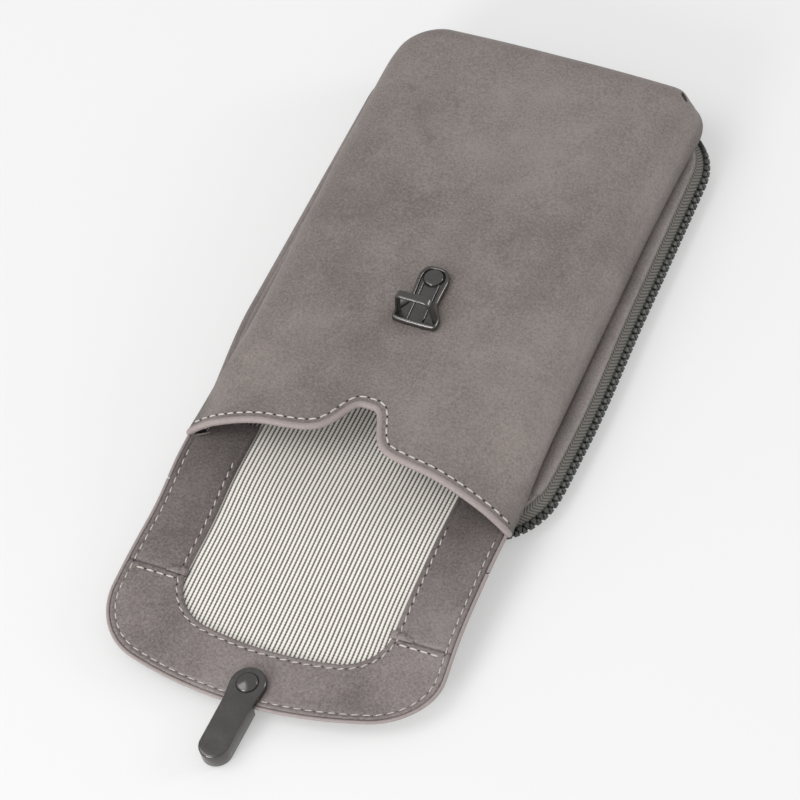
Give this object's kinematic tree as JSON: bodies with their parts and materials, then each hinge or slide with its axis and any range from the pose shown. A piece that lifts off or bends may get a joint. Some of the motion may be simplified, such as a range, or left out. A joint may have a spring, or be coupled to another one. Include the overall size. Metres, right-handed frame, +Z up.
{
  "type": "phone pouch",
  "caption": "Leather phone pouch with a domed front pocket, a fold-over flap locked by a metal tongue and keeper loop, and a zipped compartment behind.",
  "frame": {"origin": "centre of the back panel's outer face, the face the pouch rests on", "axes": "+X across the pouch towards the zipped side, +Y along it from the mouth to the closed end, +Z up from the back to the front"},
  "size_m": [0.1048, 0.2334, 0.0323],
  "materials": {
    "taupe_leather": "smooth waxed leather, grey taupe, faintly mottled",
    "facing_leather": "thin matching leather with painted edges",
    "stripe_fabric": "ribbed cotton, cream with fine dark stripes",
    "plain_lining": "plain woven lining",
    "zip_tape": "grey herringbone tape",
    "zip_teeth": "dark moulded teeth",
    "gunmetal": "gunmetal plated casting, satin"
  },
  "bodies": {
    "pouch": {"front_panel": "taupe_leather", "front_lining": "stripe_fabric", "mouth_facing": "facing_leather", "divider": "taupe_leather", "divider_lining": "stripe_fabric", "pocket_facing_left": "facing_leather", "pocket_facing_right": "facing_leather", "compartment_lining": "plain_lining", "back_panel": "taupe_leather", "back_lining": "plain_lining", "spine_gusset": "taupe_leather", "upper_welt": "taupe_leather", "lower_welt": "taupe_leather", "zip_tape_upper": "zip_tape", "zip_tape_lower": "zip_tape", "zip_teeth_upper": "zip_teeth", "zip_teeth_lower": "zip_teeth", "zip_stops": "zip_teeth", "keeper": "gunmetal", "keeper_rivet": "gunmetal", "keeper_washer": "gunmetal"},
    "flap_bend": {"bend_outer": "taupe_leather", "bend_fabric": "stripe_fabric", "bend_facing_left": "facing_leather", "bend_facing_right": "facing_leather"},
    "flap": {"flap_outer": "taupe_leather", "flap_fabric": "stripe_fabric", "flap_facing_left": "facing_leather", "flap_facing_right": "facing_leather", "flap_facing_tip": "facing_leather", "tongue": "gunmetal", "tongue_rivet": "gunmetal", "tongue_rivet_cap": "gunmetal"},
    "zip_slider": {"slider_body": "gunmetal", "slider_crown": "gunmetal"},
    "zip_pull": {"zip_pull": "gunmetal"}
  },
  "joints": [
    {"name": "flap_fold", "type": "hinge", "parent": "pouch", "child": "flap_bend", "pos_m": [0, -0.07905, 0.0106], "axis": [-1, 0, 0], "range_deg": [0, 95]},
    {"name": "flap_close", "type": "hinge", "parent": "flap_bend", "child": "flap", "pos_m": [0, -0.09219, 0.0094], "axis": [-1, 0, 0], "range_deg": [0, 86]},
    {"name": "zip_run", "type": "slide", "parent": "pouch", "child": "zip_slider", "axis": [1, 0, 0], "range_m": [0, 0.055]},
    {"name": "pull_swing", "type": "hinge", "parent": "zip_slider", "child": "zip_pull", "pos_m": [-0.025, 0.07395, 0.0044], "axis": [0, 0, 1], "range_deg": [0, 170]}
  ],
  "couplings": [
    {"joint": "flap_close", "follows": "flap_fold", "ratio": 0.8}
  ]
}
